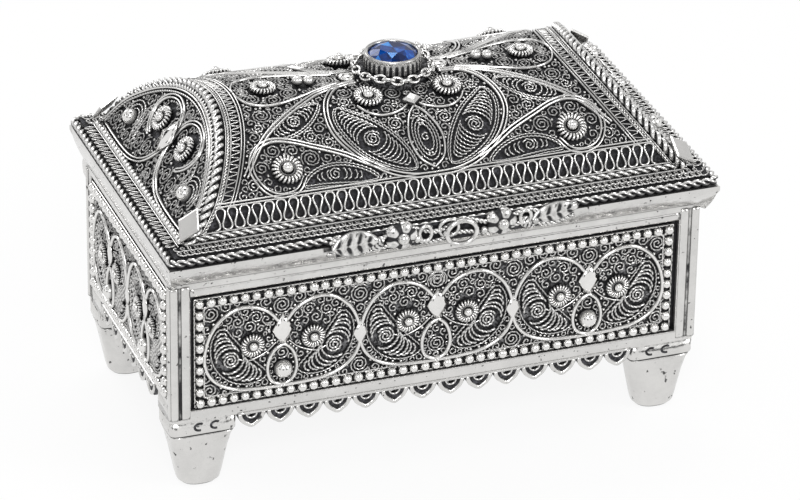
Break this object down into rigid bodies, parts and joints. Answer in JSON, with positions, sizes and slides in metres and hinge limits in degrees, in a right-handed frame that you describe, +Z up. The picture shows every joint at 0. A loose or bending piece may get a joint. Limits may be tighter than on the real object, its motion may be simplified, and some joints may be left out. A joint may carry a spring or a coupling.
{
  "type": "filigree reliquary box",
  "caption": "Rectangular metal box on tapered corner feet, filigree panels all round, and a hinged vaulted lid crowned by a faceted stone.",
  "frame": {"origin": "centre of the overall length and depth, at the soles of the feet", "axes": "+X along the length to the right, -Y is the front with the thumb lift, +Z up"},
  "size_m": [0.11, 0.067, 0.0731],
  "materials": {
    "polished_silver": "antiqued silver, raised wires polished, hollows dark",
    "oxidised_silver": "blackened silver ground",
    "blue_stone": "faceted, polished"
  },
  "bodies": {
    "box": {"corner_posts": "polished_silver", "foot_front_left": "polished_silver", "foot_front_right": "polished_silver", "foot_back_left": "polished_silver", "foot_back_right": "polished_silver", "front_wall": "oxidised_silver", "front_frame": "polished_silver", "front_panel_ground": "oxidised_silver", "front_bead_border": "polished_silver", "front_scrolls": "polished_silver", "front_apron": "polished_silver", "back_wall": "oxidised_silver", "back_frame": "polished_silver", "back_panel_ground": "oxidised_silver", "back_bead_border": "polished_silver", "back_scrolls": "polished_silver", "back_apron": "polished_silver", "left_wall": "oxidised_silver", "left_frame": "polished_silver", "left_panel_ground": "oxidised_silver", "left_bead_border": "polished_silver", "left_scrolls": "polished_silver", "left_apron": "polished_silver", "right_wall": "oxidised_silver", "right_frame": "polished_silver", "right_panel_ground": "oxidised_silver", "right_bead_border": "polished_silver", "right_scrolls": "polished_silver", "right_apron": "polished_silver", "floor_plate": "oxidised_silver", "hinge_body_leaf": "polished_silver", "hinge_pin": "polished_silver"},
    "lid": {"lid_rim_front": "polished_silver", "lid_rim_back": "polished_silver", "lid_rim_left": "polished_silver", "lid_rim_right": "polished_silver", "hinge_lid_leaf": "polished_silver", "edge_rope": "polished_silver", "rim_coil_strips": "oxidised_silver", "rim_bead_rows": "polished_silver", "vault_shell": "oxidised_silver", "vault_end_left": "oxidised_silver", "vault_end_right": "oxidised_silver", "arch_ropes": "polished_silver", "arch_bands": "oxidised_silver", "meander_ribbons": "polished_silver", "ribbon_edges": "polished_silver", "vault_filigree": "oxidised_silver", "rosettes": "polished_silver", "granule_pairs": "polished_silver", "flower_pads": "polished_silver", "crown_lozenges": "polished_silver", "corner_lozenges": "polished_silver", "setting_collar": "polished_silver", "chain_ring": "polished_silver", "bezel_cup": "polished_silver", "stone": "blue_stone", "thumb_lift": "polished_silver"}
  },
  "joints": [
    {"name": "lid_hinge", "type": "hinge", "parent": "box", "child": "lid", "pos_m": [0, 0.0297, 0.0422], "axis": [-1, 0, 0], "range_deg": [0, 100]}
  ]
}
